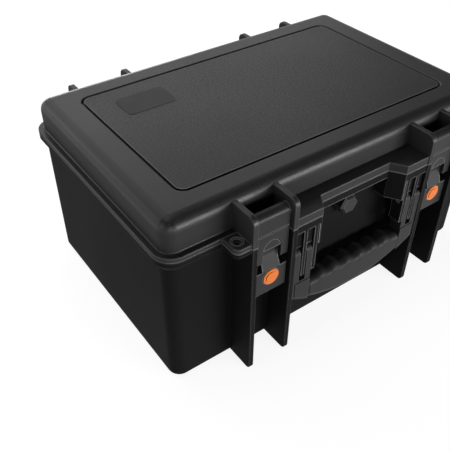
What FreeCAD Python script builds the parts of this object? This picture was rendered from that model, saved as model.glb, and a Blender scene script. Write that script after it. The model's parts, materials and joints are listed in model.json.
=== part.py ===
import FreeCAD, Part
import os
import re

import Sketcher

# Hard carrying case: a deep base and a shallow lid, hinged at the back and held by two press latches,
# with a folding carry handle and a pressure valve at the front.
# Millimetres. +Z is up, the front faces -Y, and the origin is the middle of the base's underside.

SIZES = {
    # shells
    "case_width": 401,
    "case_depth": 256,
    "base_height": 159.4,
    "lid_height": 37.2,
    "parting_gap": 0.4,
    "corner_radius": 13,
    "wall": 4,
    "floor_thickness": 4.5,
    "roof_thickness": 6,
    "foot_edge_radius": 7,
    # rim around the parting line
    "rim_reach": 6.5,
    "rim_lid_height": 4.6,
    "rim_base_height": 5.2,
    "rim_slope_height": 10,
    "rim_crease": 1.5,
    # seal, its groove in the lid and the tongue on the base
    "groove_offset": 0.5,
    "groove_width": 4,
    "groove_depth": 3.5,
    "tongue_width": 2,
    "tongue_height": 1.4,
    "seal_width": 3.4,
    "seal_height": 2.2,
    # panel let into the lid
    "panel_side_margin": 36.2,
    "panel_end_margin": 32.8,
    "panel_corner": 9,
    "panel_gap": 2.6,
    "panel_recess": 3.4,
    "panel_thickness": 3.1,
    "recess_bevel": 0.8,
    # fins at the front and the back
    "fin_thickness": 5.6,
    "fin_reach": 29.6,
    "fin_root": 5.5,
    "fin_nose_radius": 8,
    "fin_foot_radius": 5,
    "fin_drop": 5.5,
    "hinge_fin_drop": 11,
    "handle_bay_width": 167,
    "latch_bay_width": 38.6,
    # shelf, bar and handle brackets
    "shelf_height": 9.2,
    "shelf_drop": 8.5,
    "strike_reach": 10.5,
    "bar_reach": 13.5,
    "bar_width": 89,
    "bracket_gap": 108.6,
    "bracket_setback": 1.2,
    "side_plate": 2,
    "side_plate_drop": 23.3,
    "slit_width": 1.4,
    "inner_rib": 4.2,
    "inner_rib_drop": 53.3,
    "middle_rib": 3.9,
    "middle_rib_drop": 55.3,
    "rib_depth": 14,
    "slot_depth": 2.6,
    "slot_back": 3,
    "slot_back_drop": 19.3,
    # padlock lugs
    "lug_length": 16,
    "lug_setback": 2.1,
    "lug_corner": 6,
    "lug_hole_radius": 4,
    "lug_hole_across": 7.5,
    "lug_hole_back": 11,
    "lug_ring_radius": 5.6,
    "lug_ring_depth": 0.8,
    # lid hinges
    "hinge_margin": 47.5,
    "hinge_bay": 59.8,
    "hinge_reach": 18.8,
    "hinge_pin_radius": 2.5,
    "knuckle_gap": 0.5,
    # latches
    "latch_pivot_drop": 12.5,
    "latch_pin_radius": 2,
    "lever_width": 36.6,
    "lever_setback": 4.6,
    "lever_barrel": 6.5,
    "lever_thickness": 5,
    "lever_foot_drop": 18.6,
    "lever_groove_width": 1.2,
    "lever_groove_depth": 0.6,
    "lever_groove_drop": 14,
    "arch_width": 20,
    "arch_height": 13.6,
    "arch_gap": 0.5,
    "arch_inset": 0.6,
    "block_width": 37.2,
    "block_setback": 4.6,
    "block_thickness": 9.8,
    "block_height": 28.5,
    "block_gap": 11,
    "block_corner": 2,
    "tongue_across": 19.2,
    "backing_width": 31,
    "backing_foot": 4,
    "backing_height": 28,
    "button_radius": 8.5,
    "button_clearance": 0.3,
    "button_height": 19.1,
    "button_proud": 0.8,
    "button_thickness": 3.5,
    "button_bore_depth": 5.6,
    "button_disc_radius": 5.8,
    "button_disc_height": 0.9,
    "stem_radius": 3,
    "catch_width": 14,
    "catch_thickness": 1,
    "catch_foot": 9.3,
    "catch_gap": 0.5,
    "catch_bite": 3.9,
    "rivet_radius": 1.5,
    "rivet_head_radius": 2.6,
    "rivet_head": 1,
    "rivet_bite": 3,
    "catch_rivet_across": 4,
    "catch_rivet_height": 7,
    "backing_rivet_across": 11,
    "backing_rivet_height": 38,
    # carry handle
    "arm_clearance": 1,
    "arm_width": 20,
    "arm_top_drop": 33,
    "ear_width": 6.3,
    "ear_radius": 6.5,
    "handle_pivot_drop": 28.8,
    "handle_pin_radius": 2.5,
    "grip_foot_drop": 76.5,
    "grip_bow": 158,
    "grip_top_drop": 38.5,
    "grip_depth": 23,
    "grip_corner": 8,
    "grip_length": 106,
    "finger_rise": 3,
    "finger_swell": 2,
    "grip_proud": 1.5,
    "grip_end": 2,
    "arm_pad_inset": 2.4,
    "arm_pad_height": 0.7,
    # pressure valve
    "valve_drop": 15.5,
    "valve_flats": 19.6,
    "valve_head": 9.6,
    "valve_bevel": 2.2,
    "valve_shank_radius": 6,
    "valve_nut_flats": 20,
    "valve_nut_height": 6,
    "valve_tail": 2,
    "valve_seal_height": 1.5,
    "valve_seal_radius": 8.6,
    # fits and cuts
    "running_clearance": 0.05,
    "seal_clearance": 0.3,
    "pin_bite": 3.5,
    "end_clearance": 0.3,
    "edge_round": 1,
    "overlap": 1,
    "overrun": 2,
}
FINGER_COUNT = 6
# rise of the grip over one finger swell, in even steps
SWELL_SHARES = (0, 0.25, 0.75, 1, 0.75, 0.25)

# Places worked out from those sizes, written for the sheet's expressions
FRONT = "(-case_depth / 2)"
REAR = "(case_depth / 2)"
FRONT_SEAT = f"({FRONT} + wall / 2)"
REAR_SEAT = f"({REAR} - wall / 2)"
LID_FOOT = "(base_height + parting_gap)"
LID_TOP = f"({LID_FOOT} + lid_height)"
# the lid's top edge is rounded a little tighter than its upright corners
LID_EDGE = "(corner_radius - edge_round / 2)"
RIM_FOOT = "(base_height - rim_base_height)"
SHELF_FOOT = "(base_height - shelf_drop)"
FIN_FRONT = f"({FRONT} - fin_reach)"
FIN_REAR = f"({REAR} + fin_reach)"
FIN_TOP = f"({LID_TOP} - fin_drop)"
HINGE_TOP = f"({LID_TOP} - hinge_fin_drop)"
RIM_FRONT = f"({FRONT} - rim_reach)"
BAR_FRONT = f"({FRONT} - bar_reach)"
STRIKE_FRONT = f"({FRONT} - strike_reach)"
PANEL_FRONT = f"({FIN_FRONT} + bracket_setback)"
LUG_FRONT = f"({FIN_FRONT} + lug_setback)"
INNER_FIN = "(handle_bay_width / 2)"
LATCH_SIDE = f"({INNER_FIN} + fin_thickness)"
OUTER_FIN = f"({LATCH_SIDE} + latch_bay_width)"
LUG_SIDE = f"({OUTER_FIN} + fin_thickness)"
LATCH_CENTRE = f"({LATCH_SIDE} + latch_bay_width / 2)"
RIB_START = "(bracket_gap / 2 + side_plate + slit_width)"
ARM_OUTER = f"({INNER_FIN} - arm_clearance)"
ARM_INNER = f"({ARM_OUTER} - arm_width)"
ARM_CENTRE = f"({ARM_OUTER} - arm_width / 2)"
PIVOT_Y = f"({PANEL_FRONT} + ear_radius)"
PIVOT_Z = f"({SHELF_FOOT} - handle_pivot_drop)"
ARM_TOP = f"({PIVOT_Z} - arm_top_drop)"
HINGE_Y = f"({REAR} + hinge_reach)"
HINGE_OUTER = "(case_width / 2 - hinge_margin - fin_thickness)"
HINGE_INNER = f"({HINGE_OUTER} - hinge_bay - fin_thickness)"
KNUCKLE = "(fin_reach - hinge_reach)"
LEVER_FRONT = f"({FIN_FRONT} + lever_setback)"
LEVER_BACK = f"({LEVER_FRONT} + lever_thickness)"
LATCH_Y = f"({LEVER_FRONT} + lever_barrel)"
LATCH_Z = f"({FIN_TOP} - latch_pivot_drop)"
LEVER_FOOT = f"({SHELF_FOOT} - lever_foot_drop)"
BLOCK_FRONT = f"({FIN_FRONT} + block_setback)"
BLOCK_BACK = f"({BLOCK_FRONT} + block_thickness)"
BLOCK_TOP = f"({LEVER_FOOT} - block_gap)"
BLOCK_FOOT = f"({BLOCK_TOP} - block_height)"
BUTTON_Z = f"({BLOCK_FOOT} + button_height)"
VALVE_SEAT = f"({FRONT} - valve_seal_height)"
VALVE_Z = f"({SHELF_FOOT} - valve_drop)"

doc = FreeCAD.newDocument("hard_case")
sheet = doc.addObject("Spreadsheet::Sheet", "Sizes")
for row, (alias, size) in enumerate(SIZES.items(), start=1):
    sheet.set(f"A{row}", alias)
    sheet.set(f"B{row}", str(size))
    sheet.setAlias(f"B{row}", alias)
doc.recompute()


def bound(expression):
    """The expression with each size written as a cell of the sheet."""
    return re.sub(r"\b(?!sqrt\b)([a-z][a-z_]+)\b", r"Sizes.\1", expression)


def number(expression):
    return float(sheet.evalExpression(bound(expression)))


def new_body(label):
    body = doc.addObject("PartDesign::Body", label)
    body.Label = label
    return body


def sketch_on(body, role, offset="0"):
    """A sketch on one of the body's origin planes, moved along that plane's normal by offset."""
    sketch = body.newObject("Sketcher::SketchObject", "sketch")
    plane = next(face for face in body.Origin.OriginFeatures if face.Role == role)
    sketch.AttachmentSupport = [(plane, "")]
    sketch.MapMode = "FlatFace"
    sketch.setExpression("AttachmentOffset.Base.z", bound(offset))
    return sketch


def fix(sketch, kind, geometry, point, expression):
    """Hold a point's place, across or up, or a curve's radius to an expression."""
    size = number(expression)
    if kind == "Radius":
        index = sketch.addConstraint(Sketcher.Constraint(kind, geometry, size))
    else:
        index = sketch.addConstraint(Sketcher.Constraint(kind, -1, 1, geometry, point, size))
    sketch.setExpression(f"Constraints[{index}]", bound(expression))


def outline(sketch, corners):
    """A closed outline of straight lines; each corner is an (across, up) pair of expressions."""
    first = sketch.GeometryCount
    points = [FreeCAD.Vector(number(across), number(up), 0) for across, up in corners]
    for start, end in zip(points, points[1:] + points[:1]):
        sketch.addGeometry(Part.LineSegment(start, end))
    for index, (across, up) in enumerate(corners):
        before = first + (index - 1) % len(corners)
        sketch.addConstraint(Sketcher.Constraint("Coincident", before, 2, first + index, 1))
        fix(sketch, "DistanceX", first + index, 1, across)
        fix(sketch, "DistanceY", first + index, 1, up)


def rectangle(sketch, left, right, low, high):
    outline(sketch, [(left, low), (right, low), (right, high), (left, high)])


def circle(sketch, across, up, radius):
    centre = FreeCAD.Vector(number(across), number(up), 0)
    index = sketch.addGeometry(Part.Circle(centre, FreeCAD.Vector(0, 0, 1), number(radius)))
    fix(sketch, "DistanceX", index, 3, across)
    fix(sketch, "DistanceY", index, 3, up)
    fix(sketch, "Radius", index, 0, radius)


def rounded_rectangle(sketch, left, right, low, high, radius):
    """Four sides joined by four tangent quarter circles."""
    x0, x1, y0, y1, r = (number(size) for size in (left, right, low, high, radius))
    first = sketch.GeometryCount
    sides = [((x0 + r, y0), (x1 - r, y0)), ((x1, y0 + r), (x1, y1 - r)),
             ((x1 - r, y1), (x0 + r, y1)), ((x0, y1 - r), (x0, y0 + r))]
    centres = [(x1 - r, y0 + r), (x1 - r, y1 - r), (x0 + r, y1 - r), (x0 + r, y0 + r)]
    for index, ((start, end), centre) in enumerate(zip(sides, centres)):
        sketch.addGeometry(Part.LineSegment(FreeCAD.Vector(*start, 0), FreeCAD.Vector(*end, 0)))
        round_corner = Part.Circle(FreeCAD.Vector(*centre, 0), FreeCAD.Vector(0, 0, 1), r)
        angle = FreeCAD.Units.Quantity("90 deg").getValueAs("rad").Value
        sketch.addGeometry(Part.ArcOfCircle(round_corner, (index - 1) * angle, index * angle))
    for index in range(4):
        side = first + 2 * index
        after = first + (2 * index + 2) % 8
        sketch.addConstraint(Sketcher.Constraint("Tangent", side, 2, side + 1, 1))
        sketch.addConstraint(Sketcher.Constraint("Tangent", side + 1, 2, after, 1))
        sketch.addConstraint(Sketcher.Constraint("Horizontal" if index % 2 == 0 else "Vertical", side))
        if index:
            sketch.addConstraint(Sketcher.Constraint("Equal", first + 1, side + 1))
    fix(sketch, "Radius", first + 1, 0, radius)
    fix(sketch, "DistanceY", first, 1, low)
    fix(sketch, "DistanceX", first + 2, 1, right)
    fix(sketch, "DistanceY", first + 4, 1, high)
    fix(sketch, "DistanceX", first + 6, 1, left)


def case_outline(sketch, grow):
    """The case's plan, grown on all sides by an expression."""
    rounded_rectangle(sketch, f"-case_width / 2 - ({grow})", f"case_width / 2 + ({grow})",
                      f"-case_depth / 2 - ({grow})", f"case_depth / 2 + ({grow})",
                      f"corner_radius + ({grow})")


def solid_change(body, kind, sketch, length, backwards=False):
    """A pad or a pocket of a sketch, which must change the body's volume."""
    before = body.Shape.Volume if body.Tip else 0
    feature = body.newObject(f"PartDesign::{kind}", kind.lower())
    feature.Profile = sketch
    feature.Reversed = backwards
    feature.setExpression("Length", bound(length))
    body.Tip = feature
    doc.recompute()
    if abs(body.Shape.Volume - before) < 1e-3:
        raise RuntimeError(f"{body.Label}: {kind} changed nothing")
    return feature


def pad(body, sketch, length, backwards=False):
    return solid_change(body, "Pad", sketch, length, backwards)


def pocket(body, sketch, depth, backwards=False):
    return solid_change(body, "Pocket", sketch, depth, backwards)


def mirror(body, features):
    """The same features on the other side of the case's middle plane."""
    copy = body.newObject("PartDesign::Mirrored", "mirrored")
    copy.Originals = features
    plane = next(face for face in body.Origin.OriginFeatures if face.Role == "YZ_Plane")
    copy.MirrorPlane = (plane, [""])
    body.Tip = copy
    doc.recompute()
    return copy


def dress(body, kind, radius, wanted):
    """A fillet or chamfer on the edges of the tip that the test picks."""
    tip = body.Tip
    names = [f"Edge{index}" for index, edge in enumerate(tip.Shape.Edges, start=1) if wanted(edge)]
    feature = body.newObject(f"PartDesign::{kind}", kind.lower())
    feature.Base = (tip, names)
    feature.setExpression("Radius" if kind == "Fillet" else "Size", bound(radius))
    body.Tip = feature
    doc.recompute()
    return feature


def near(value, expression):
    return abs(value - number(expression)) < 1e-4


def along(edge, axis):
    """Whether a straight edge runs along the X, Y or Z axis (0, 1, 2)."""
    box = edge.BoundBox
    spans = [box.XLength, box.YLength, box.ZLength]
    return spans[axis] > 1e-4 and sum(spans) - spans[axis] < 1e-4


def level(edge, expression):
    """Whether an edge lies flat at a height."""
    return near(edge.BoundBox.ZMin, expression) and near(edge.BoundBox.ZMax, expression)


def slab(body, left, right, profile):
    """A pad along X of a side profile, between two places left of the middle, given as positives."""
    sketch = sketch_on(body, "YZ_Plane", f"-({left})")
    outline(sketch, profile)
    return pad(body, sketch, f"({left}) - ({right})")


def rod(body, left, length, across, up, radius):
    """A round pad along X that starts at left."""
    sketch = sketch_on(body, "YZ_Plane", left)
    circle(sketch, across, up, radius)
    return pad(body, sketch, length)


def cross_bore(body, left, length, across, up, radius):
    """A round pocket along X that starts at left."""
    sketch = sketch_on(body, "YZ_Plane", left)
    circle(sketch, across, up, radius)
    return pocket(body, sketch, length, backwards=True)


def on_side(edge, places):
    """Whether an edge lies in an upright plane at one of some distances left or right of the middle."""
    box = edge.BoundBox
    return box.XLength < 1e-4 and any(near(abs(box.XMin), place) for place in places)


def reaches(edge, across, deep):
    """Whether an edge reaches just as far out as a place at an end or along a side."""
    box = edge.BoundBox
    return (near(max(abs(box.XMin), abs(box.XMax)), across)
            or near(max(abs(box.YMin), abs(box.YMax)), deep))


def reaches_rim(edge):
    return reaches(edge, "case_width / 2 + rim_reach", "case_depth / 2 + rim_reach")


def combine(body, kind, tool):
    """Fuse another body's solid onto a body, or cut it away."""
    step = body.newObject("PartDesign::Boolean", kind.lower())
    step.Type = kind
    step.setObjects([tool])
    body.Tip = step
    doc.recompute()


def join_fins(body, starts, profile, corner_level, corner_radius, root_level):
    """Fuse fins onto a shell; their outer corner and free edges are rounded first."""
    def at_tip(edge):
        box = edge.BoundBox
        return near(max(abs(box.YMin), abs(box.YMax)), "case_depth / 2 + fin_reach")

    fins = doc.addObject("PartDesign::Body", "fins")
    for start in starts:
        sketch = sketch_on(fins, "YZ_Plane", start)
        outline(sketch, profile)
        pad(fins, sketch, "fin_thickness")
    dress(fins, "Fillet", corner_radius,
          lambda edge: along(edge, 0) and level(edge, corner_level) and at_tip(edge))
    dress(fins, "Fillet", "edge_round", lambda edge: edge.BoundBox.XLength < 1e-4
          and at_tip(edge) and not level(edge, root_level))
    combine(body, "Fuse", fins)


def both_sides(places):
    """Starts along X of fins whose inner sides are at these places, left and right of the middle."""
    return [start for place in places for start in (f"-({place} + fin_thickness)", place)]


def shelf_outline(sketch):
    """Plan of the shelf over both brackets and of the bar between them."""
    edge = f"({INNER_FIN} + fin_thickness / 2)"
    outline(sketch, [(f"-{edge}", FRONT_SEAT), (f"-{edge}", PANEL_FRONT),
                     ("-bracket_gap / 2", PANEL_FRONT), ("-bar_width / 2", BAR_FRONT),
                     ("bar_width / 2", BAR_FRONT), ("bracket_gap / 2", PANEL_FRONT),
                     (edge, PANEL_FRONT), (edge, FRONT_SEAT)])


def lug(label, sign, foot, height, free):
    """Padlock lug beside an outer fin, in front of the rim; free is the height of its open face."""
    body = new_body(label)
    far = f"({LUG_SIDE} + lug_length)"
    left, right = (f"-{far}", f"-{LUG_SIDE}") if sign == "-" else (LUG_SIDE, far)
    plan = sketch_on(body, "XY_Plane", foot)
    rectangle(plan, left, right, LUG_FRONT, RIM_FRONT)
    circle(plan, f"{sign}({LUG_SIDE} + lug_hole_across)", f"{LUG_FRONT} + lug_hole_back", "lug_hole_radius")
    pad(body, plan, height)
    dress(body, "Fillet", "lug_corner", lambda edge: along(edge, 2)
          and near(edge.BoundBox.YMin, LUG_FRONT) and near(abs(edge.BoundBox.XMin), far))
    dress(body, "Fillet", "edge_round", lambda edge: level(edge, free) and not edge.isClosed()
          and not on_side(edge, [LUG_SIDE]) and not near(edge.BoundBox.YMin, RIM_FRONT))
    return body


def lid_lug(label, sign):
    """A lug whose hole has a sunk ring around it."""
    top = f"{LID_FOOT} + rim_lid_height"
    body = lug(label, sign, LID_FOOT, "rim_lid_height", top)
    ring = sketch_on(body, "XY_Plane", f"{top} + overrun")
    circle(ring, f"{sign}({LUG_SIDE} + lug_hole_across)", f"{LUG_FRONT} + lug_hole_back", "lug_ring_radius")
    pocket(body, ring, "lug_ring_depth + overrun")
    return body


def base_shell():
    body = new_body("base_shell")
    plan = sketch_on(body, "XY_Plane")
    case_outline(plan, "0")
    pad(body, plan, "base_height")
    dress(body, "Fillet", "foot_edge_radius", lambda edge: level(edge, "0"))
    # rim with its sloping underside
    slope = body.newObject("PartDesign::AdditiveLoft", "slope")
    slope_foot = sketch_on(body, "XY_Plane", f"{RIM_FOOT} - rim_slope_height")
    case_outline(slope_foot, "-overlap")
    slope_top = sketch_on(body, "XY_Plane", RIM_FOOT)
    case_outline(slope_top, "rim_reach")
    slope.Profile = slope_foot
    slope.Sections = [slope_top]
    slope.Ruled = True
    body.Tip = slope
    doc.recompute()
    rim = sketch_on(body, "XY_Plane", RIM_FOOT)
    case_outline(rim, "rim_reach")
    pad(body, rim, "rim_base_height")
    dress(body, "Fillet", "edge_round", lambda edge: reaches_rim(edge)
          and (level(edge, RIM_FOOT) or level(edge, "base_height")))
    # between the outer fins the rim is flat underneath
    clear = sketch_on(body, "XY_Plane", RIM_FOOT)
    rectangle(clear, f"-{OUTER_FIN}", OUTER_FIN, f"{RIM_FRONT} - overrun", FRONT)
    pocket(body, clear, "rim_slope_height + overrun")
    inside = sketch_on(body, "XY_Plane", "base_height")
    case_outline(inside, "-wall")
    pocket(body, inside, "base_height - floor_thickness")
    shelf = sketch_on(body, "XY_Plane", SHELF_FOOT)
    shelf_outline(shelf)
    pad(body, shelf, "shelf_drop")
    fin = [(f"{FRONT} + foot_edge_radius", "0"), (FIN_FRONT, "0"), (FIN_FRONT, "base_height"),
           (FRONT_SEAT, "base_height"), (FRONT_SEAT, "foot_edge_radius")]
    join_fins(body, both_sides([INNER_FIN, OUTER_FIN]), fin, "0", "fin_foot_radius", "base_height")
    hinge_fin = [(f"{REAR} - foot_edge_radius", "0"), (FIN_REAR, "0"), (FIN_REAR, "base_height"),
                 (REAR_SEAT, "base_height"), (REAR_SEAT, "foot_edge_radius")]
    hinge_sides = (f"({HINGE_INNER} + fin_thickness + knuckle_gap)",
                   f"({HINGE_OUTER} - knuckle_gap - fin_thickness)")
    join_fins(body, both_sides(hinge_sides), hinge_fin, "0", "fin_foot_radius", "base_height")
    # left half: strike for the latch, bracket and hinge knuckles
    half = [slab(body, f"{OUTER_FIN} + fin_thickness / 2", f"{LATCH_SIDE} - fin_thickness / 2",
                 [(FRONT_SEAT, SHELF_FOOT), (STRIKE_FRONT, SHELF_FOOT),
                  (STRIKE_FRONT, "base_height"), (FRONT_SEAT, "base_height")])]
    half += bracket(body)
    for inner in hinge_sides:
        half.append(rod(body, f"-({inner} + fin_thickness)", "fin_thickness",
                        HINGE_Y, "base_height", KNUCKLE))
    half.append(cross_bore(body, f"-({HINGE_OUTER} + overrun)", "hinge_bay + 2 * fin_thickness",
                           HINGE_Y, "base_height", "hinge_pin_radius + running_clearance"))
    mirror(body, half)
    # tongue that presses on the seal, and the valve's hole
    tongue = sketch_on(body, "XY_Plane", "base_height")
    case_outline(tongue, "groove_offset + tongue_width / 2")
    case_outline(tongue, "groove_offset - tongue_width / 2")
    pad(body, tongue, "tongue_height")
    valve = sketch_on(body, "XZ_Plane", f"-{FRONT} + overrun")
    circle(valve, "0", VALVE_Z, "valve_shank_radius + running_clearance")
    pocket(body, valve, "wall + 2 * overrun")
    return body


def bracket(body):
    """The left handle bracket under the shelf: a bent side plate, two ribs and the back of the slots."""
    def drop(left, right, start, end, fall):
        top = f"{SHELF_FOOT} + shelf_drop / 2"
        foot = f"{SHELF_FOOT} - {fall}"
        return slab(body, left, right, [(start, top), (end, top), (end, foot), (start, foot)])

    rib_back = f"{PANEL_FRONT} + rib_depth"
    slot_floor = f"{PANEL_FRONT} + slot_depth"
    plate = sketch_on(body, "XY_Plane", f"{SHELF_FOOT} - side_plate_drop")
    outline(plate, [("-bracket_gap / 2", PANEL_FRONT), ("-bar_width / 2", BAR_FRONT),
                    ("-bar_width / 2", FRONT_SEAT), ("-(bar_width / 2 + side_plate)", FRONT_SEAT),
                    ("-(bar_width / 2 + side_plate)", BAR_FRONT),
                    ("-(bracket_gap / 2 + side_plate)", PANEL_FRONT)])
    features = [
        pad(body, plate, "side_plate_drop + shelf_drop / 2"),
        drop(f"{RIB_START} + inner_rib", RIB_START, PANEL_FRONT, rib_back, "inner_rib_drop"),
        drop(f"{ARM_CENTRE} + middle_rib / 2", f"{ARM_CENTRE} - middle_rib / 2",
             PANEL_FRONT, rib_back, "middle_rib_drop"),
        drop(f"{INNER_FIN} + fin_thickness / 2", RIB_START,
             slot_floor, f"{slot_floor} + slot_back", "slot_back_drop"),
    ]
    features.append(cross_bore(body, f"-({INNER_FIN} + pin_bite)",
                               f"{INNER_FIN} + pin_bite - {RIB_START} + slit_width / 2",
                               PIVOT_Y, PIVOT_Z, "handle_pin_radius + running_clearance"))
    return features


def domed_box(body, foot, top, grow):
    """A block on the case's plan, grown by an expression, with a rounded top edge."""
    plan = sketch_on(body, "XY_Plane", foot)
    case_outline(plan, grow)
    pad(body, plan, f"{top} - {foot}")
    dress(body, "Fillet", f"{LID_EDGE} + ({grow})", lambda edge: level(edge, top))


def lid_shell():
    body = new_body("lid_shell")
    domed_box(body, LID_FOOT, LID_TOP, "0")
    # the room inside is rounded like the outside, so the wall keeps its thickness
    room = doc.addObject("PartDesign::Body", "lid_room")
    domed_box(room, f"({LID_FOOT} - overrun)", f"({LID_TOP} - roof_thickness)", "-wall")
    combine(body, "Cut", room)
    rim = sketch_on(body, "XY_Plane", LID_FOOT)
    case_outline(rim, "rim_reach")
    case_outline(rim, "-wall / 2")
    pad(body, rim, "rim_lid_height")
    rim_top = f"{LID_FOOT} + rim_lid_height"
    dress(body, "Fillet", "rim_crease", lambda edge: level(edge, rim_top)
          and reaches(edge, "case_width / 2", "case_depth / 2"))
    dress(body, "Fillet", "edge_round", lambda edge: reaches_rim(edge) and level(edge, rim_top))
    shelf = sketch_on(body, "XY_Plane", LID_FOOT)
    shelf_outline(shelf)
    pad(body, shelf, "shelf_height")
    fin = [(FRONT_SEAT, LID_FOOT), (FIN_FRONT, LID_FOOT), (FIN_FRONT, FIN_TOP),
           (f"{FRONT} + fin_root", FIN_TOP), (FRONT_SEAT, f"{LID_TOP} - {LID_EDGE}")]
    join_fins(body, both_sides([INNER_FIN, OUTER_FIN]), fin, FIN_TOP, "fin_nose_radius", LID_FOOT)
    hinge_fin = [(REAR_SEAT, LID_FOOT), (FIN_REAR, LID_FOOT), (FIN_REAR, HINGE_TOP), (REAR_SEAT, HINGE_TOP)]
    hinge_sides = (HINGE_INNER, HINGE_OUTER)
    join_fins(body, both_sides(hinge_sides), hinge_fin, HINGE_TOP, "fin_nose_radius", LID_FOOT)
    # left half: the latch pin's bore and the hinge knuckles
    half = [cross_bore(body, f"-({OUTER_FIN} + pin_bite)", "latch_bay_width + 2 * pin_bite",
                       LATCH_Y, LATCH_Z, "latch_pin_radius + running_clearance")]
    for inner in hinge_sides:
        half.append(rod(body, f"-({inner} + fin_thickness)", "fin_thickness",
                        HINGE_Y, "base_height", KNUCKLE))
    half.append(cross_bore(body, f"-({HINGE_OUTER} + fin_thickness + overrun)",
                           "hinge_bay + 2 * fin_thickness + 2 * overrun",
                           HINGE_Y, "base_height", "hinge_pin_radius + running_clearance"))
    mirror(body, half)
    groove = sketch_on(body, "XY_Plane", f"{LID_FOOT} - overrun")
    case_outline(groove, "groove_offset + groove_width / 2")
    case_outline(groove, "groove_offset - groove_width / 2")
    pocket(body, groove, "groove_depth + overrun", backwards=True)
    recess = sketch_on(body, "XY_Plane", f"{LID_TOP} + overrun")
    panel_outline(recess, "panel_gap")
    pocket(body, recess, "panel_recess + overrun")
    dress(body, "Chamfer", "recess_bevel", lambda edge: level(edge, LID_TOP)
          and reaches(edge, panel_across("panel_gap"), panel_deep("panel_gap")))
    # the shelf's free edges
    dress(body, "Fillet", "edge_round", lambda edge: level(edge, f"{LID_FOOT} + shelf_height")
          and edge.BoundBox.YMax < number(BAR_FRONT) + number("edge_round") and edge.BoundBox.XLength > 1e-4)
    return body


def panel_across(grow):
    return f"(case_width / 2 - panel_side_margin + {grow})"


def panel_deep(grow):
    return f"(case_depth / 2 - panel_end_margin + {grow})"


def panel_outline(sketch, grow):
    across = panel_across(grow)
    deep = panel_deep(grow)
    rounded_rectangle(sketch, f"-{across}", across, f"-{deep}", deep, f"panel_corner + {grow}")


def lid_panel():
    body = new_body("lid_panel")
    plan = sketch_on(body, "XY_Plane", f"{LID_TOP} - panel_recess")
    panel_outline(plan, "0")
    pad(body, plan, "panel_thickness")
    return body


def lid_seal():
    """The seal lies on the floor of the lid's groove."""
    body = new_body("lid_seal")
    plan = sketch_on(body, "XY_Plane", f"{LID_FOOT} + groove_depth - seal_height")
    case_outline(plan, "groove_offset + seal_width / 2")
    case_outline(plan, "groove_offset - seal_width / 2")
    pad(body, plan, "seal_height")
    return body


def pin(label, left, length, across, up, radius):
    body = new_body(label)
    rod(body, left, length, across, up, radius)
    return body


def latch_lever(side, centre):
    """Plate that hangs from its barrel, with an arched cut in its foot."""
    body = new_body(f"latch_lever_{side}")
    left = f"{centre} - lever_width / 2"
    right = f"{centre} + lever_width / 2"
    plate = sketch_on(body, "XZ_Plane", f"-{LEVER_BACK}")
    rectangle(plate, left, right, LEVER_FOOT, LATCH_Z)
    pad(body, plate, "lever_thickness")
    front = f"-{LEVER_FRONT} + overrun"
    legs = sketch_on(body, "XZ_Plane", front)
    rectangle(legs, f"{centre} - arch_width / 2", f"{centre} + arch_width / 2",
              f"{LEVER_FOOT} - overrun", f"{LEVER_FOOT} + arch_height")
    pocket(body, legs, "lever_thickness + 2 * overrun")
    arch = sketch_on(body, "XZ_Plane", front)
    circle(arch, centre, f"{LEVER_FOOT} + arch_height", "arch_width / 2")
    pocket(body, arch, "lever_thickness + 2 * overrun")
    dress(body, "Fillet", "edge_round", lambda edge: near(edge.BoundBox.YMin, LEVER_FRONT)
          and near(edge.BoundBox.YMax, LEVER_FRONT) and not level(edge, LATCH_Z))
    rod(body, left, "lever_width", LATCH_Y, LATCH_Z, "lever_barrel")
    cross_bore(body, f"{left} - overrun", "lever_width + 2 * overrun",
               LATCH_Y, LATCH_Z, "latch_pin_radius + running_clearance")
    groove = sketch_on(body, "XZ_Plane", front)
    rectangle(groove, f"{left} - overrun", f"{right} + overrun",
              f"{LATCH_Z} - lever_groove_drop - lever_groove_width", f"{LATCH_Z} - lever_groove_drop")
    pocket(body, groove, "lever_groove_depth + overrun")
    rivet_holes(body, centre, "backing", LEVER_BACK)
    return body


def rivet_holes(body, centre, row, face):
    """Blind holes, from a back face forwards, for one row of rivets."""
    holes = sketch_on(body, "XZ_Plane", f"-{face}")
    for sign in ("-", "+"):
        circle(holes, f"{centre} {sign} {row}_rivet_across", f"{BLOCK_TOP} + {row}_rivet_height",
               "rivet_radius + running_clearance")
    pocket(body, holes, "rivet_bite", backwards=True)


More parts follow.
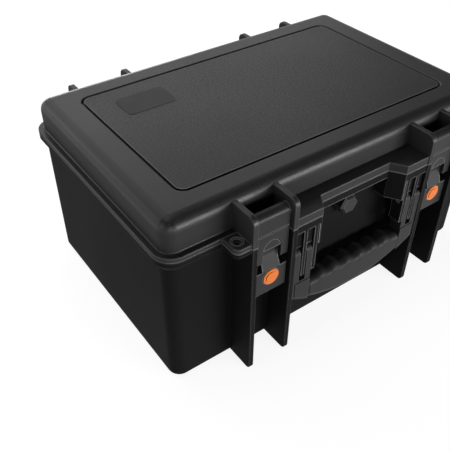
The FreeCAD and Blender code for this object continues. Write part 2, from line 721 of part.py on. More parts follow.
def latch_block(side, centre):
    """Finger block under the lever: it carries the button, and its backing is riveted to the lever."""
    body = new_body(f"latch_block_{side}")
    block = sketch_on(body, "XZ_Plane", f"-{BLOCK_BACK}")
    rectangle(block, f"{centre} - block_width / 2", f"{centre} + block_width / 2", BLOCK_FOOT, BLOCK_TOP)
    pad(body, block, "block_thickness")
    dress(body, "Fillet", "block_corner", lambda edge: (along(edge, 0) or along(edge, 2))
          and near(edge.BoundBox.YMin, BLOCK_FRONT) and near(edge.BoundBox.YMax, BLOCK_FRONT)
          and not near(edge.BoundBox.ZMin, BLOCK_TOP))
    tongue = sketch_on(body, "YZ_Plane", f"{centre} - tongue_across / 2")
    ramp_top = f"{LEVER_FOOT} + backing_foot"
    outline(tongue, [(BLOCK_BACK, f"{BLOCK_TOP} - overlap"), (BLOCK_FRONT, f"{BLOCK_TOP} - overlap"),
                     (BLOCK_FRONT, BLOCK_TOP), (LEVER_BACK, ramp_top),
                     (LEVER_BACK, f"{ramp_top} + overlap"), (BLOCK_BACK, f"{ramp_top} + overlap")])
    pad(body, tongue, "tongue_across")
    backing = sketch_on(body, "XZ_Plane", f"-{BLOCK_BACK}")
    rectangle(backing, f"{centre} - backing_width / 2", f"{centre} + backing_width / 2",
              f"{LEVER_FOOT} + backing_foot", f"{LEVER_FOOT} + backing_foot + backing_height")
    pad(body, backing, f"{BLOCK_BACK} - {LEVER_BACK}")
    # half-round pad that fills the top of the lever's arch
    filling = sketch_on(body, "XZ_Plane", f"-{LEVER_BACK}")
    circle(filling, centre, f"{LEVER_FOOT} + arch_height", "arch_width / 2 - arch_gap")
    pad(body, filling, "lever_thickness - arch_inset")
    window = sketch_on(body, "XZ_Plane", f"-{LEVER_FRONT} + overrun")
    rectangle(window, f"{centre} - arch_width / 2", f"{centre} + arch_width / 2",
              ramp_top, f"{LEVER_FOOT} + arch_height")
    pocket(body, window, "lever_thickness + overrun")
    front = f"-{BLOCK_FRONT} + overrun"
    bore = sketch_on(body, "XZ_Plane", front)
    circle(bore, centre, BUTTON_Z, "button_radius + button_clearance")
    pocket(body, bore, "button_bore_depth + overrun")
    stem = sketch_on(body, "XZ_Plane", front)
    circle(stem, centre, BUTTON_Z, "stem_radius + button_clearance")
    pocket(body, stem, "block_thickness + 2 * overrun")
    rivet_holes(body, centre, "catch", BLOCK_BACK)
    through = sketch_on(body, "XZ_Plane", f"-{BLOCK_BACK} - overrun")
    for sign in ("-", "+"):
        circle(through, f"{centre} {sign} backing_rivet_across", f"{BLOCK_TOP} + backing_rivet_height",
               "rivet_radius + running_clearance")
    pocket(body, through, "block_thickness", backwards=True)
    return body


def latch_button(side, centre):
    """Push button with a raised middle, on a stem that reaches the catch."""
    body = new_body(f"latch_button_{side}")
    face = f"({BLOCK_FRONT} - button_proud)"
    head = sketch_on(body, "XZ_Plane", f"-{face} - button_thickness")
    circle(head, centre, BUTTON_Z, "button_radius")
    pad(body, head, "button_thickness")
    stem = sketch_on(body, "XZ_Plane", f"-{BLOCK_BACK} + end_clearance")
    circle(stem, centre, BUTTON_Z, "stem_radius")
    pad(body, stem, "block_thickness - end_clearance + button_proud - button_thickness + overlap")
    disc = sketch_on(body, "XZ_Plane", f"-{face} - overlap")
    circle(disc, centre, BUTTON_Z, "button_disc_radius")
    pad(body, disc, "button_disc_height + overlap")
    return body


def latch_catch(side, centre):
    """Spring strip on the block's back; its nose lies under the base's strike."""
    body = new_body(f"latch_catch_{side}")
    profile = sketch_on(body, "YZ_Plane", f"{centre} - catch_width / 2")
    foot = f"{BLOCK_FOOT} + catch_foot"
    nose_top = f"{SHELF_FOOT} - catch_gap"
    nose_tip = f"{STRIKE_FRONT} + catch_bite"
    outline(profile, [(BLOCK_BACK, foot), (BLOCK_BACK, nose_top), (nose_tip, nose_top),
                      (nose_tip, f"{nose_top} - catch_thickness"),
                      (f"{BLOCK_BACK} + catch_thickness", f"{nose_top} - catch_thickness"),
                      (f"{BLOCK_BACK} + catch_thickness", foot)])
    pad(body, profile, "catch_width")
    rivet_holes(body, centre, "catch", f"({BLOCK_BACK} + catch_thickness)")
    return body


def latch_rivets(side, centre):
    """Four rivets: two hold the backing to the lever, two hold the catch to the block."""
    node = doc.addObject("Part::Compound", f"latch_rivets_{side}")
    node.Label = f"latch_rivets_{side}"
    rivets = []
    for row, face in (("backing", BLOCK_BACK), ("catch", f"({BLOCK_BACK} + catch_thickness)")):
        tip = LEVER_BACK if row == "backing" else BLOCK_BACK
        for sign in ("-", "+"):
            rivet = doc.addObject("PartDesign::Body", "rivet")
            across = f"{centre} {sign} {row}_rivet_across"
            up = f"{BLOCK_TOP} + {row}_rivet_height"
            head = sketch_on(rivet, "XZ_Plane", f"-{face} - rivet_head")
            circle(head, across, up, "rivet_head_radius")
            pad(rivet, head, "rivet_head")
            shank = sketch_on(rivet, "XZ_Plane", f"-{face}")
            circle(shank, across, up, "rivet_radius")
            pad(rivet, shank, f"{face} - {tip} + rivet_bite - end_clearance")
            rivets.append(rivet)
    node.Links = rivets
    doc.recompute()
    return node


def grip_foot(across):
    """Height of the grip's bowed underside at a distance from the middle."""
    return f"({PIVOT_Z} - grip_foot_drop + grip_bow - sqrt(grip_bow * grip_bow - ({across}) * ({across})))"


def carry_handle():
    """Folding handle: a bowed grip with finger swells between two arms, each with a pair of ears."""
    body = new_body("carry_handle")
    grip = body.newObject("PartDesign::AdditiveLoft", "grip")
    back = f"({PANEL_FRONT} + grip_depth)"
    low_top = f"{PIVOT_Z} - grip_top_drop - finger_rise"
    sections = []

    def section(station, front, behind, foot, top, corner):
        sketch = sketch_on(body, "YZ_Plane", station)
        rounded_rectangle(sketch, front, behind, foot, top, corner)
        sections.append(sketch)

    def end_section(sign):
        """The grip dies away inside an arm."""
        station = f"{sign}({ARM_INNER} + arm_pad_inset)"
        section(station, f"{PANEL_FRONT} + overlap", f"{PANEL_FRONT} + 2 * ear_radius - overlap",
                f"{grip_foot(station)} + overlap", f"{low_top} - overlap", "ear_radius - 2 * overlap")

    def shoulder(sign):
        station = f"{sign}({ARM_INNER} - grip_end)"
        section(station, f"{PANEL_FRONT} - grip_proud", f"{back} - finger_swell",
                grip_foot(station), low_top, "grip_corner")

    end_section("-")
    shoulder("-")
    steps = FINGER_COUNT * len(SWELL_SHARES)
    for step in range(steps + 1):
        station = f"(-grip_length / 2 + {step} * grip_length / {steps})"
        fall = 1 - SWELL_SHARES[step % len(SWELL_SHARES)]
        section(station, f"{PANEL_FRONT} - grip_proud", f"{back} - {fall} * finger_swell", grip_foot(station),
                f"{PIVOT_Z} - grip_top_drop - {fall} * finger_rise", "grip_corner")
    shoulder("+")
    end_section("+")
    grip.Profile = sections[0]
    grip.Sections = sections[1:]
    grip.Ruled = True
    body.Tip = grip
    doc.recompute()
    arm = sketch_on(body, "XZ_Plane", f"-({PANEL_FRONT} + 2 * ear_radius)")
    outline(arm, [(f"-{ARM_OUTER}", ARM_TOP), (f"-{ARM_OUTER}", grip_foot(ARM_OUTER)),
                  (f"-{ARM_CENTRE}", grip_foot(ARM_CENTRE)), (f"-{ARM_INNER}", grip_foot(ARM_INNER)),
                  (f"-{ARM_INNER}", ARM_TOP)])
    half = [pad(body, arm, "2 * ear_radius")]
    # flat raised field on the arm's front
    field = sketch_on(body, "XZ_Plane", f"-{PANEL_FRONT} - overlap")
    field_side = f"({ARM_OUTER} - arm_pad_inset)"
    outline(field, [(f"-{field_side}", f"{ARM_TOP} - arm_pad_inset"),
                    (f"-{field_side}", f"{grip_foot(field_side)} + arm_pad_inset"),
                    (f"-{ARM_CENTRE}", f"{grip_foot(ARM_CENTRE)} + arm_pad_inset"),
                    (f"-{ARM_INNER}", f"{grip_foot(ARM_INNER)} + arm_pad_inset"),
                    (f"-{ARM_INNER}", f"{ARM_TOP} - arm_pad_inset")])
    half.append(pad(body, field, "arm_pad_height + overlap"))
    ear = [(PANEL_FRONT, f"{ARM_TOP} - overlap"), (f"{PANEL_FRONT} + 2 * ear_radius", f"{ARM_TOP} - overlap"),
           (f"{PANEL_FRONT} + 2 * ear_radius", PIVOT_Z), (PANEL_FRONT, PIVOT_Z)]
    for outer in (ARM_OUTER, f"({ARM_INNER} + ear_width)"):
        half.append(slab(body, outer, f"{outer} - ear_width", ear))
        half.append(rod(body, f"-{outer}", "ear_width", PIVOT_Y, PIVOT_Z, "ear_radius"))
    half.append(cross_bore(body, f"-({ARM_OUTER} + overrun)", "arm_width + 2 * overrun",
                           PIVOT_Y, PIVOT_Z, "handle_pin_radius + running_clearance"))
    mirror(body, half)
    return body


def hexagon(sketch, up, flats):
    """A hexagon on the valve's axis with flats at its top and bottom."""
    corner = f"({flats} / sqrt(3))"
    half = f"{flats} / 2"
    outline(sketch, [(corner, up), (f"{corner} / 2", f"{up} + {half}"),
                     (f"-{corner} / 2", f"{up} + {half}"), (f"-{corner}", up),
                     (f"-{corner} / 2", f"{up} - {half}"), (f"{corner} / 2", f"{up} - {half}")])


def valve_knob():
    """Six-sided head on a round shank that runs through the wall, the nut and the seal."""
    body = new_body("valve_knob")
    head = sketch_on(body, "XZ_Plane", f"-{VALVE_SEAT}")
    hexagon(head, VALVE_Z, "valve_flats")
    pad(body, head, "valve_head")
    dress(body, "Chamfer", "valve_bevel", lambda edge: near(edge.BoundBox.YMax, f"{VALVE_SEAT} - valve_head"))
    length = "valve_seal_height + wall + valve_nut_height + valve_tail"
    shank = sketch_on(body, "XZ_Plane", f"-{VALVE_SEAT} - ({length})")
    circle(shank, "0", VALVE_Z, "valve_shank_radius")
    pad(body, shank, f"{length} + overlap")
    return body


def valve_nut():
    body = new_body("valve_nut")
    plan = sketch_on(body, "XZ_Plane", f"-{FRONT} - wall - valve_nut_height")
    hexagon(plan, VALVE_Z, "valve_nut_flats")
    circle(plan, "0", VALVE_Z, "valve_shank_radius + running_clearance")
    pad(body, plan, "valve_nut_height")
    return body


def valve_seal():
    body = new_body("valve_seal")
    plan = sketch_on(body, "XZ_Plane", f"-{FRONT}")
    circle(plan, "0", VALVE_Z, "valve_seal_radius")
    circle(plan, "0", VALVE_Z, "valve_shank_radius + seal_clearance")
    pad(body, plan, "valve_seal_height")
    return body


nodes = [base_shell(), lid_shell(), lid_panel(), lid_seal(), carry_handle(),
         valve_knob(), valve_nut(), valve_seal()]
for side, sign in (("left", "-"), ("right", "+")):
    centre = f"({sign}{LATCH_CENTRE})"
    nodes += [latch_lever(side, centre), latch_block(side, centre), latch_button(side, centre),
              latch_catch(side, centre), latch_rivets(side, centre),
              lug(f"base_lug_{side}", sign, RIM_FOOT, "rim_base_height", RIM_FOOT),
              lid_lug(f"lid_lug_{side}", sign)]
    nodes.append(pin(f"latch_pin_{side}", f"{centre} - latch_bay_width / 2 - pin_bite + end_clearance",
                     "latch_bay_width + 2 * pin_bite - 2 * end_clearance",
                     LATCH_Y, LATCH_Z, "latch_pin_radius"))
    hinge_length = "(hinge_bay + 2 * fin_thickness)"
    hinge_start = f"-({HINGE_OUTER} + fin_thickness)" if side == "left" else HINGE_INNER
    nodes.append(pin(f"hinge_pin_{side}", hinge_start, hinge_length,
                     HINGE_Y, "base_height", "hinge_pin_radius"))
    pin_length = f"({INNER_FIN} + pin_bite - end_clearance - {RIB_START})"
    pin_start = f"-({RIB_START} + {pin_length})" if side == "left" else RIB_START
    nodes.append(pin(f"handle_pin_{side}", pin_start, pin_length, PIVOT_Y, PIVOT_Z, "handle_pin_radius"))

doc.recompute()
for item in doc.Objects:
    if "Invalid" in item.State or "Error" in item.State:
        raise RuntimeError(f"{item.Label} failed: {item.State}")
for node in nodes:
    if node.Shape.isNull() or not node.Shape.isValid() or not node.Shape.Solids:
        raise RuntimeError(f"{node.Label} has no valid solid")

os.makedirs("parts", exist_ok=True)
for node in nodes:
    node.Shape.exportStep(f"parts/{node.Label}.step")
    print(node.Label, len(node.Shape.Solids), round(node.Shape.Volume))
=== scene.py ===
# %% [markdown]
# # A black hard case
#
# The part is a moulded carrying case with a hinged lid, two swing latches, a folding handle and a
# pressure valve. The solids come packed, one object for each piece, in metres, with +Z up and the
# front towards -Y. This script keeps those shapes and gives them their looks: the grain of the
# moulded shell, the smoother latches and handle, the orange buttons and the steel pins. It adds
# one thin thing that the solids leave out, a bare plate on the lid, and sets up the light and the
# camera.

# %% Load the solids
import json
import math

import bmesh
import bpy
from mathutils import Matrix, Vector


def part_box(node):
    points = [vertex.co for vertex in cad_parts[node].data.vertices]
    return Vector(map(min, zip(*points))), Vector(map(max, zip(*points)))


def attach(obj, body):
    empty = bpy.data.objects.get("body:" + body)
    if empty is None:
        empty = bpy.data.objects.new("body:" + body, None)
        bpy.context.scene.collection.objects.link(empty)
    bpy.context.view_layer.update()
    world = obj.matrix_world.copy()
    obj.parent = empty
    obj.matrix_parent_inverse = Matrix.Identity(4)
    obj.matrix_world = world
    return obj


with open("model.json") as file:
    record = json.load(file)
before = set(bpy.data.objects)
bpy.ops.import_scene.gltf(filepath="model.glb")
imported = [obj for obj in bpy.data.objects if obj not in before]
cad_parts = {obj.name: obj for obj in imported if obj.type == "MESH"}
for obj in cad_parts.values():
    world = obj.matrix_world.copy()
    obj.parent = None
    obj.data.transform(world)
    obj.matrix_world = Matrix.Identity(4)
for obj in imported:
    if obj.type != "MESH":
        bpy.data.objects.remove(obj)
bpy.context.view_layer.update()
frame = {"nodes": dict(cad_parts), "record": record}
scene = bpy.context.scene
print("pieces loaded:", len(frame["nodes"]))

# %% [markdown]
# ## Where the camera stands
#
# The straight edges in the photograph fix the camera. Lines along the case's width, depth and
# height run to three vanishing points, and those give a lens of about 51 mm on a 36 mm wide
# sensor, a view 35 degrees round to the left of the front, and 40 degrees down. The camera isn't
# rolled, so two angles and a place are enough.

# %% Camera
VIEW_ROUND = math.radians(35.3)
VIEW_DOWN = math.radians(40.0)
CAMERA_PLACE = Vector((-0.3815, -0.4671, 0.5200))
SENSOR_MM, LENS_MM = 36.0, 51.2

lens = bpy.data.cameras.new("camera")
lens.sensor_width = SENSOR_MM
lens.lens = LENS_MM
camera = bpy.data.objects.new("camera", lens)
camera.location = CAMERA_PLACE
camera.rotation_euler = (math.pi / 2 - VIEW_DOWN, 0, -VIEW_ROUND)
scene.collection.objects.link(camera)
scene.camera = camera
print("camera at", tuple(round(place, 3) for place in CAMERA_PLACE))

# %% [markdown]
# ## Building materials from nodes
#
# Every finish here is one Principled shader with noise behind it. An image texture would need the
# pieces unwrapped, and it would blur close up. Noise read in Object coordinates needs neither. The
# pieces sit at the origin at their real size, so a noise scale of 1000 means features about a
# millimetre across, whichever piece it is on. Three small helpers start a material, add a node
# with its settings, and add noise.

# %% Node helpers
def start_material(name):
    material = bpy.data.materials.new(name)
    material.use_nodes = True
    shader = material.node_tree.nodes["Principled BSDF"]
    return material, material.node_tree, shader


def add_node(tree, kind, **settings):
    node = tree.nodes.new(kind)
    for setting, value in settings.items():
        if setting in node.inputs:
            node.inputs[setting].default_value = value
        else:
            setattr(node, setting, value)
    return node


def add_noise(tree, scale, detail=2.0, roughness=0.5):
    place = add_node(tree, "ShaderNodeTexCoord")
    noise = add_node(tree, "ShaderNodeTexNoise", Scale=scale, Detail=detail, Roughness=roughness)
    tree.links.new(place.outputs["Object"], noise.inputs["Vector"])
    return noise.outputs["Fac"]


print("node helpers ready")

# %% [markdown]
# ## From noise to a finish
#
# Noise on its own hovers round one half. To be of use it is stretched over a range of values, then
# turned into a colour, added to another value, or read as a height. Bumps are chained, so that a
# slow ripple and a fine grain can lie over each other. Real relief would need millions of faces
# for a grain this fine, and the eye can't tell the difference.

# %% Noise helpers
NOISE_LOW, NOISE_HIGH = 0.3, 0.7


def spread(tree, source, low, high, source_low=NOISE_LOW, source_high=NOISE_HIGH):
    """Stretch part of a value's range, for a noise its middle, over a new range."""
    ends = {"From Min": source_low, "From Max": source_high, "To Min": low, "To Max": high}
    span = add_node(tree, "ShaderNodeMapRange", **ends)
    tree.links.new(source, span.inputs["Value"])
    return span.outputs["Result"]


def shade_between(tree, noise, dark, light):
    ramp = add_node(tree, "ShaderNodeValToRGB")
    ramp.color_ramp.elements[0].color = (*dark, 1.0)
    ramp.color_ramp.elements[1].color = (*light, 1.0)
    tree.links.new(spread(tree, noise, 0.0, 1.0), ramp.inputs["Fac"])
    return ramp.outputs["Color"]


def add_up(tree, first, second):
    total = add_node(tree, "ShaderNodeMath", operation="ADD")
    tree.links.new(first, total.inputs[0])
    tree.links.new(second, total.inputs[1])
    return total.outputs[0]


def bump_from(tree, shader, layers):
    """Chain bumps: each layer is a noise, its height in metres and its strength."""
    normal = None
    for noise, height, strength in layers:
        bump = add_node(tree, "ShaderNodeBump", Strength=strength, Distance=height)
        tree.links.new(noise, bump.inputs["Height"])
        if normal is not None:
            tree.links.new(normal, bump.inputs["Normal"])
        normal = bump.outputs["Normal"]
    tree.links.new(normal, shader.inputs["Normal"])


print("noise helpers ready")

# %% [markdown]
# ## Painted edge highlights and duller sides
#
# On the real case, fine light lines run along the fins and rims, where very small roundings catch
# the lamps. The solids have sharper edges there, so a painted highlight, a lighter colour along the
# edges, stands in for the light on those roundings. The edges could be marked by hand, or found by
# the Pointiness of the mesh, which needs even faces. An Ambient Occlusion node that looks inwards
# needs neither: near an outer edge, a ray sent into the piece soon comes out again.
#
# The lid's upright faces hardly mirror the white floor in the photograph, although its top has some
# gloss. This is matched: the normal in Object coordinates tells how upright a face is, and
# adds roughness there.

# %% Painted edge highlights and duller sides
EDGE_WIDTH = 0.0010
EDGE_RAYS = 6
ALL_EDGE, NO_EDGE = 0.55, 0.95
UPRIGHT, TILTED = 0.05, 0.35
MIX_FIRST_COLOUR, MIX_SECOND_COLOUR, MIX_COLOUR_OUT = 6, 7, 2


# Painted highlight: a lighter colour blended in along outer edges, where small roundings would catch
# light.
def painted_edge_highlight(tree, colour, highlight_colour):
    inward = add_node(tree, "ShaderNodeAmbientOcclusion", samples=EDGE_RAYS, inside=True,
                      only_local=True, Distance=EDGE_WIDTH)
    amount = spread(tree, inward.outputs["AO"], 1.0, 0.0, ALL_EDGE, NO_EDGE)
    blend = add_node(tree, "ShaderNodeMix", data_type="RGBA")
    tree.links.new(amount, blend.inputs["Factor"])
    tree.links.new(colour, blend.inputs[MIX_FIRST_COLOUR])
    blend.inputs[MIX_SECOND_COLOUR].default_value = (*highlight_colour, 1.0)
    return blend.outputs[MIX_COLOUR_OUT]


def duller_sides(tree, amount):
    """Extra roughness on upright faces, fading to none where a face looks up or down."""
    place = add_node(tree, "ShaderNodeTexCoord")
    parts = add_node(tree, "ShaderNodeSeparateXYZ")
    tilt = add_node(tree, "ShaderNodeMath", operation="ABSOLUTE")
    tree.links.new(place.outputs["Normal"], parts.inputs[0])
    tree.links.new(parts.outputs["Z"], tilt.inputs[0])
    return spread(tree, tilt.outputs[0], amount, 0.0, UPRIGHT, TILTED)


print("edge width in mm:", EDGE_WIDTH * 1000)

# %% [markdown]
# ## The shell's grained plastic
#
# The base and the lid are injection moulded in a black plastic with a fine spark-eroded grain. It
# has no pattern: only tiny pits that break up the reflection, so a flat face looks velvety and the
# rounded lid edge carries a soft bright line. One noise, a little coarser than the grain, drives
# both the colour and the roughness, so that a lighter fleck is also a duller one. A slow noise
# shifts the roughness over a hand's width, as handling and flow marks do.

# %% Grained plastic
SHELL_EDGE_HIGHLIGHT = (0.17, 0.17, 0.171)
FLECK_TO_GRAIN = 0.8
CLOUD_SCALE, CLOUD_ROUGH = 14.0, 0.04
RIPPLE_SCALE, RIPPLE_HEIGHT, RIPPLE_STRENGTH = 90.0, 0.0002, 0.06
GRAIN_STRENGTH = 0.6


def grained_plastic(name, dark, light, grain_scale, grain_height, rough, side_rough, shine):
    material, tree, shader = start_material(name)
    cloud = add_noise(tree, CLOUD_SCALE, detail=3.0)
    fleck = add_noise(tree, grain_scale * FLECK_TO_GRAIN)
    colour = shade_between(tree, fleck, dark, light)
    # Painted highlight along the outer edges, blended into the grain colour.
    tree.links.new(painted_edge_highlight(tree, colour, SHELL_EDGE_HIGHLIGHT), shader.inputs["Base Color"])
    face_rough = add_up(tree, spread(tree, fleck, *rough), spread(tree, cloud, 0.0, CLOUD_ROUGH))
    all_rough = add_up(tree, face_rough, duller_sides(tree, side_rough))
    tree.links.new(all_rough, shader.inputs["Roughness"])
    shader.inputs["Specular IOR Level"].default_value = shine
    ripple = add_noise(tree, RIPPLE_SCALE, detail=1.0)
    grain = add_noise(tree, grain_scale, detail=3.0, roughness=0.6)
    bump_from(tree, shader, [(ripple, RIPPLE_HEIGHT, RIPPLE_STRENGTH),
                             (grain, grain_height, GRAIN_STRENGTH)])
    return material


print("grained recipe ready")

# %% [markdown]
# ## Base, lid and panel
#
# One recipe gives three finishes. The base is the dullest and has the finest grain. Its shine is set
# far below that of real plastic, because at the usual level its walls mirror the white floor more
# than the photograph shows. The lid is glossier on top and duller on its upright faces. The panel
# let into it has the coarsest grain and the widest range of roughness, which makes it sparkle a
# little.

# %% Three grained finishes
base_plastic = grained_plastic(
    "base_plastic", dark=(0.006, 0.006, 0.0062), light=(0.010, 0.010, 0.0102), grain_scale=1100.0,
    grain_height=0.00016, rough=(0.48, 0.58), side_rough=0.12, shine=0.035)
lid_plastic = grained_plastic(
    "lid_plastic", dark=(0.008, 0.008, 0.0082), light=(0.014, 0.014, 0.0142), grain_scale=900.0,
    grain_height=0.00022, rough=(0.33, 0.46), side_rough=0.34, shine=0.31)
panel_plastic = grained_plastic(
    "panel_plastic", dark=(0.008, 0.008, 0.0082), light=(0.016, 0.016, 0.0162), grain_scale=750.0,
    grain_height=0.00036, rough=(0.26, 0.63), side_rough=0.0, shine=0.30)
print("grained:", base_plastic.name, lid_plastic.name, panel_plastic.name)

# %% [markdown]
# ## Latches, handle and valve
#
# The pieces that hands touch are moulded smoother, so they show narrower, brighter lights along
# their edges. They share one recipe with a much finer grain and the same painted edge highlight. The
# handle is a little duller than the latches, and its painted edge highlight is fainter, because its
# edges are more rounded.

# %% Satin plastic
HANDLE_EDGE_HIGHLIGHT = (0.05, 0.05, 0.051)
SATIN_CLOUD_SCALE, SATIN_LIGHTER = 40.0, 1.35
SATIN_GRAIN_SCALE, SATIN_GRAIN_HEIGHT, SATIN_GRAIN_STRENGTH = 2200.0, 0.00006, 0.2


def satin_plastic(name, colour, rough, shine, edge=SHELL_EDGE_HIGHLIGHT):
    material, tree, shader = start_material(name)
    cloud = add_noise(tree, SATIN_CLOUD_SCALE, detail=4.0)
    lighter = tuple(SATIN_LIGHTER * part for part in colour)
    shade = shade_between(tree, cloud, colour, lighter)
    # Painted highlight along the outer edges, blended into the satin colour.
    tree.links.new(painted_edge_highlight(tree, shade, edge), shader.inputs["Base Color"])
    tree.links.new(spread(tree, cloud, *rough), shader.inputs["Roughness"])
    shader.inputs["Specular IOR Level"].default_value = shine
    grain = add_noise(tree, SATIN_GRAIN_SCALE)
    bump_from(tree, shader, [(grain, SATIN_GRAIN_HEIGHT, SATIN_GRAIN_STRENGTH)])
    return material


latch_plastic = satin_plastic("latch_plastic", (0.012, 0.012, 0.0122), rough=(0.40, 0.46),
                              shine=0.17)
handle_plastic = satin_plastic("handle_plastic", (0.011, 0.011, 0.0112), rough=(0.46, 0.52),
                               shine=0.15, edge=HANDLE_EDGE_HIGHLIGHT)
valve_plastic = satin_plastic("valve_plastic", (0.012, 0.012, 0.0122), rough=(0.36, 0.42),
                              shine=0.2)
print("satin:", latch_plastic.name, handle_plastic.name, valve_plastic.name)

# %% [markdown]
# ## Buttons and seals
#
# The push buttons are the one colour on the case: a warm orange, semi-gloss, with a faint mottling
# from the pigment. The seals are dull black rubber with a greyish bloom. Both are a mottled colour
# over a fine bump, so one recipe makes them, and only the numbers differ.

# %% Orange and rubber
def mottled(name, dark, light, mottle_scale, mottle_detail, rough, bump_scale, bump_height,
            bump_strength):
    material, tree, shader = start_material(name)
    mottle = add_noise(tree, mottle_scale, detail=mottle_detail)
    tree.links.new(shade_between(tree, mottle, dark, light), shader.inputs["Base Color"])
    tree.links.new(spread(tree, mottle, *rough), shader.inputs["Roughness"])
    bump_from(tree, shader, [(add_noise(tree, bump_scale), bump_height, bump_strength)])
    return material, shader


button_orange, orange_shader = mottled(
    "button_orange", dark=(0.62, 0.15, 0.026), light=(0.68, 0.185, 0.036), mottle_scale=260.0,
    mottle_detail=3.0, rough=(0.30, 0.38), bump_scale=1800.0, bump_height=0.00005,
    bump_strength=0.15)
orange_shader.inputs["Specular IOR Level"].default_value = 0.2
seal_rubber, _ = mottled(
    "seal_rubber", dark=(0.012, 0.012, 0.012), light=(0.020, 0.020, 0.020), mottle_scale=120.0,
    mottle_detail=4.0, rough=(0.72, 0.86), bump_scale=900.0, bump_height=0.0001,
    bump_strength=0.2)
print("mottled:", button_orange.name, seal_rubber.name)

# %% [markdown]
# ## Pins, rivets and spring strips
#
# These are drawn steel. Drawing leaves fine lines along the wire, and the pins lie along X. A
# Mapping node squeezes the noise across the lines and leaves it long beside them. An anisotropic
# shader could do it too, but it needs a tangent on every piece, and close up the lines would be
# missing.

# %% Drawn steel
LINES_PER_METRE = (60.0, 1800.0, 1800.0)

drawn_steel, steel_tree, steel_shader = start_material("drawn_steel")
steel_place = add_node(steel_tree, "ShaderNodeTexCoord")
squeeze = add_node(steel_tree, "ShaderNodeMapping", Scale=LINES_PER_METRE)
line_noise = add_node(steel_tree, "ShaderNodeTexNoise", Scale=1.0, Detail=2.0)
steel_tree.links.new(steel_place.outputs["Object"], squeeze.inputs["Vector"])
steel_tree.links.new(squeeze.outputs["Vector"], line_noise.inputs["Vector"])
lines = line_noise.outputs["Fac"]
steel_tree.links.new(shade_between(steel_tree, lines, (0.42, 0.42, 0.43), (0.58, 0.58, 0.59)),
                     steel_shader.inputs["Base Color"])
steel_tree.links.new(spread(steel_tree, lines, 0.26, 0.40), steel_shader.inputs["Roughness"])
steel_shader.inputs["Metallic"].default_value = 1.0
print("metal:", drawn_steel.name)

# %% [markdown]
# ## Giving each piece its finish
#
# The part's record names a finish for every piece. A loop looks it up, so that a piece added later
# gets its finish without a new line here. Shell pieces on the lid take the lid's own plastic.

# %% Finishes
finishes = {
    "shell": base_plastic, "panel": panel_plastic, "latch": latch_plastic,
    "handle": handle_plastic, "valve": valve_plastic, "button": button_orange,
    "seal": seal_rubber, "steel": drawn_steel,
}
for subpart in frame["record"]["subparts"]:
    solid = frame["nodes"][subpart["node"]]
    solid.data.materials.clear()
    on_lid = subpart["node"].startswith("lid_") and subpart["material_slot"] == "shell"
    solid.data.materials.append(lid_plastic if on_lid else finishes[subpart["material_slot"]])

# %% [markdown]
# ## The bare plate on the panel
#
# Near the panel's rear left corner the moulding has a smooth patch with rounded corners, where a
# label would go. Here it stays bare. It could be painted on with a mask, but a thin piece has a
# true edge that catches the light. It is a square of four points, stretched to its size, with its
# corners rounded by a bevel and then given a little thickness.

# %% Plate shape
PLATE_CENTRE = Vector((-0.1105, 0.0563))
PLATE_WIDTH, PLATE_DEPTH, PLATE_HEIGHT = 0.0555, 0.0355, 0.00025
PLATE_CORNER, CORNER_STEPS = 0.0055, 8
panel_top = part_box("lid_panel")[1].z

plate_shape = bmesh.new()
bmesh.ops.create_grid(plate_shape, x_segments=1, y_segments=1, size=0.5)
bmesh.ops.scale(plate_shape, vec=(PLATE_WIDTH, PLATE_DEPTH, 1.0), verts=plate_shape.verts)
bmesh.ops.bevel(plate_shape, geom=plate_shape.verts[:], offset=PLATE_CORNER, offset_type="OFFSET",
                segments=CORNER_STEPS, profile=0.5, affect="VERTICES", material=-1)
top = bmesh.ops.extrude_face_region(plate_shape, geom=plate_shape.faces[:])
raised = [item for item in top["geom"] if isinstance(item, bmesh.types.BMVert)]
bmesh.ops.translate(plate_shape, vec=(0, 0, PLATE_HEIGHT), verts=raised)
bmesh.ops.translate(plate_shape, vec=(*PLATE_CENTRE, panel_top), verts=plate_shape.verts)
bmesh.ops.recalc_face_normals(plate_shape, faces=plate_shape.faces)
print("plate top at", round(panel_top + PLATE_HEIGHT, 5))

# %% [markdown]
# ## The plate as a piece
#
# The plate lies on the lid's panel, so it rides on the lid when that opens. It is smoother than
# the grain round it and a little darker. It is so thin that all of it would count as an edge, so
# its painted edge highlight is hardly lighter than the rest.

# %% Plate piece
# The last colour is the plate's painted edge highlight, nearly its own colour.
plate_plastic = satin_plastic("plate_plastic", (0.010, 0.010, 0.0105), rough=(0.46, 0.52),
                              shine=0.21, edge=(0.012, 0.012, 0.0125))
plate_mesh = bpy.data.meshes.new("bare_plate")
plate_shape.to_mesh(plate_mesh)
plate_shape.free()
plate_mesh.materials.append(plate_plastic)
plate = bpy.data.objects.new("bare_plate", plate_mesh)
scene.collection.objects.link(plate)
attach(plate, "lid")
print("plate faces:", len(plate_mesh.polygons))

# %% [markdown]
# ## Floor
#
# The photograph has a white ground with a thin shadow where the case stands. A floor lit up to
# white would need so much light that the case would turn grey. So the floor is a plain grey disc
# that also glows, but only to the camera and in reflections. It reads as white and keeps a soft
# shadow under the case, and the only glow on the case is what it mirrors. The disc is wide enough
# to fill the picture.

# %% Floor paint
FLOOR_GLOW = 0.88
FLOOR_GREY = (0.22, 0.22, 0.22, 1.0)


def seen_directly(tree):
    """1 for rays from the camera, and for mirror and glass rays; 0 for the rest."""
    path = add_node(tree, "ShaderNodeLightPath")
    seen = path.outputs["Is Camera Ray"]
    for kind in ("Is Glossy Ray", "Is Transmission Ray"):
        either = add_node(tree, "ShaderNodeMath", operation="MAXIMUM")
        tree.links.new(seen, either.inputs[0])
        tree.links.new(path.outputs[kind], either.inputs[1])
        seen = either.outputs[0]
    return seen


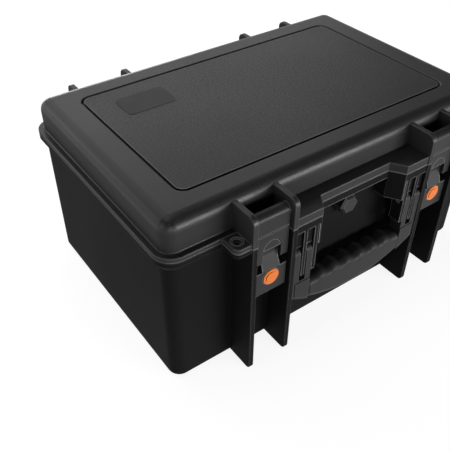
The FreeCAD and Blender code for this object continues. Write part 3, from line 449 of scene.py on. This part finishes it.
def choose_by_ray(tree, for_the_rest, for_direct, output_kind):
    choice = add_node(tree, "ShaderNodeMixShader")
    result = add_node(tree, output_kind)
    tree.links.new(seen_directly(tree), choice.inputs[0])
    tree.links.new(for_the_rest.outputs[0], choice.inputs[1])
    tree.links.new(for_direct.outputs[0], choice.inputs[2])
    tree.links.new(choice.outputs[0], result.inputs["Surface"])


floor_paint = bpy.data.materials.new("floor_paint")
floor_paint.use_nodes = True
paint_tree = floor_paint.node_tree
paint_tree.nodes.clear()
matt = add_node(paint_tree, "ShaderNodeBsdfDiffuse", Color=FLOOR_GREY)
glow = add_node(paint_tree, "ShaderNodeEmission", Strength=FLOOR_GLOW)
matt_and_glow = add_node(paint_tree, "ShaderNodeAddShader")
paint_tree.links.new(matt.outputs[0], matt_and_glow.inputs[0])
paint_tree.links.new(glow.outputs[0], matt_and_glow.inputs[1])
choose_by_ray(paint_tree, matt, matt_and_glow, "ShaderNodeOutputMaterial")
print("floor glow:", FLOOR_GLOW)

# %% Floor disc
FLOOR_RADIUS, FLOOR_SEGMENTS, FLOOR_DROP = 6.0, 96, 0.0002

disc = bmesh.new()
bmesh.ops.create_circle(disc, cap_ends=True, segments=FLOOR_SEGMENTS, radius=FLOOR_RADIUS)
floor_mesh = bpy.data.meshes.new("floor")
disc.to_mesh(floor_mesh)
disc.free()
floor = bpy.data.objects.new("floor", floor_mesh)
floor.location.z = -FLOOR_DROP
floor_mesh.materials.append(floor_paint)
scene.collection.objects.link(floor)
print("floor radius in m:", FLOOR_RADIUS)

# %% [markdown]
# ## The world round it
#
# Seen from lower down, the floor ends at a horizon. There its glow goes on in the world as a pale
# band, which fades out higher up so that the lid's top mirrors only the lamps. To all other rays
# the world is a dim grey light from all round.

# %% World
DIM_LIGHT = 0.04
BAND_TOP, BAND_FADED = 0.2, 0.4
WHITE = (1, 1, 1, 1)

world = bpy.data.worlds.new("studio")
world.use_nodes = True
scene.world = world
sky_tree = world.node_tree
sky_tree.nodes.clear()
direction = add_node(sky_tree, "ShaderNodeTexCoord")
height = add_node(sky_tree, "ShaderNodeSeparateXYZ")
sky_tree.links.new(direction.outputs["Generated"], height.inputs[0])
dim = add_node(sky_tree, "ShaderNodeBackground", Color=WHITE, Strength=DIM_LIGHT)
pale = add_node(sky_tree, "ShaderNodeBackground", Color=WHITE)
band = spread(sky_tree, height.outputs["Z"], FLOOR_GLOW, DIM_LIGHT, BAND_TOP, BAND_FADED)
sky_tree.links.new(band, pale.inputs["Strength"])
choose_by_ray(sky_tree, dim, pale, "ShaderNodeOutputWorld")
print("world ready:", world.name)

# %% [markdown]
# ## Light
#
# The top of the lid is grey and darkens from the rear left to the front right, the left end is an
# even dark grey, the front is nearly black, and a bright line runs along the lid's front rounding.
# Black plastic shows mostly what it mirrors, so each of these asks for its own soft box, and one
# big lamp wouldn't do. Weak ones above and behind are mirrored by the top, and one on the left by
# the end wall. A low, strong one at the front gives the bright line and lights the orange, and a
# smaller one beside it carries the line round the corner. The last, low behind, lights the hinge
# side for views from there.

# %% Lamps
CASE_MIDDLE = Vector((0, -0.05, 0.15))


def soft_box(name, place, width, height, power):
    lamp = bpy.data.lights.new(name, "AREA")
    lamp.shape = "RECTANGLE"
    lamp.size = width
    lamp.size_y = height
    lamp.energy = power
    box = bpy.data.objects.new(name, lamp)
    box.location = place
    box.rotation_euler = (CASE_MIDDLE - Vector(place)).to_track_quat("-Z", "Y").to_euler()
    scene.collection.objects.link(box)


soft_box("overhead", place=(-0.3, 0.3, 1.8), width=1.2, height=1.2, power=8.0)
soft_box("rear", place=(0.58, 1.12, 1.04), width=1.2, height=0.8, power=4.9)
soft_box("rear_high", place=(-0.4, 1.35, 1.12), width=0.9, height=0.7, power=4.0)
soft_box("rear_left", place=(-1.15, 1.45, 0.68), width=0.7, height=0.6, power=3.6)
soft_box("left_fill", place=(-1.8, 0.0, 0.8), width=0.8, height=0.8, power=5.0)
soft_box("front_low", place=(0.8, -1.75, 0.27), width=1.1, height=0.5, power=36.0)
soft_box("front_left", place=(-0.95, -1.85, 0.42), width=0.7, height=0.34, power=9.5)
soft_box("rear_low", place=(0.3, 2.1, 0.12), width=1.4, height=0.4, power=22.0)
print("lamps:", [lamp.name for lamp in bpy.data.lights])

# %% [markdown]
# ## Last settings
#
# The Standard view keeps the colours as they are written.

# %% Finish
scene.view_settings.view_transform = "Standard"
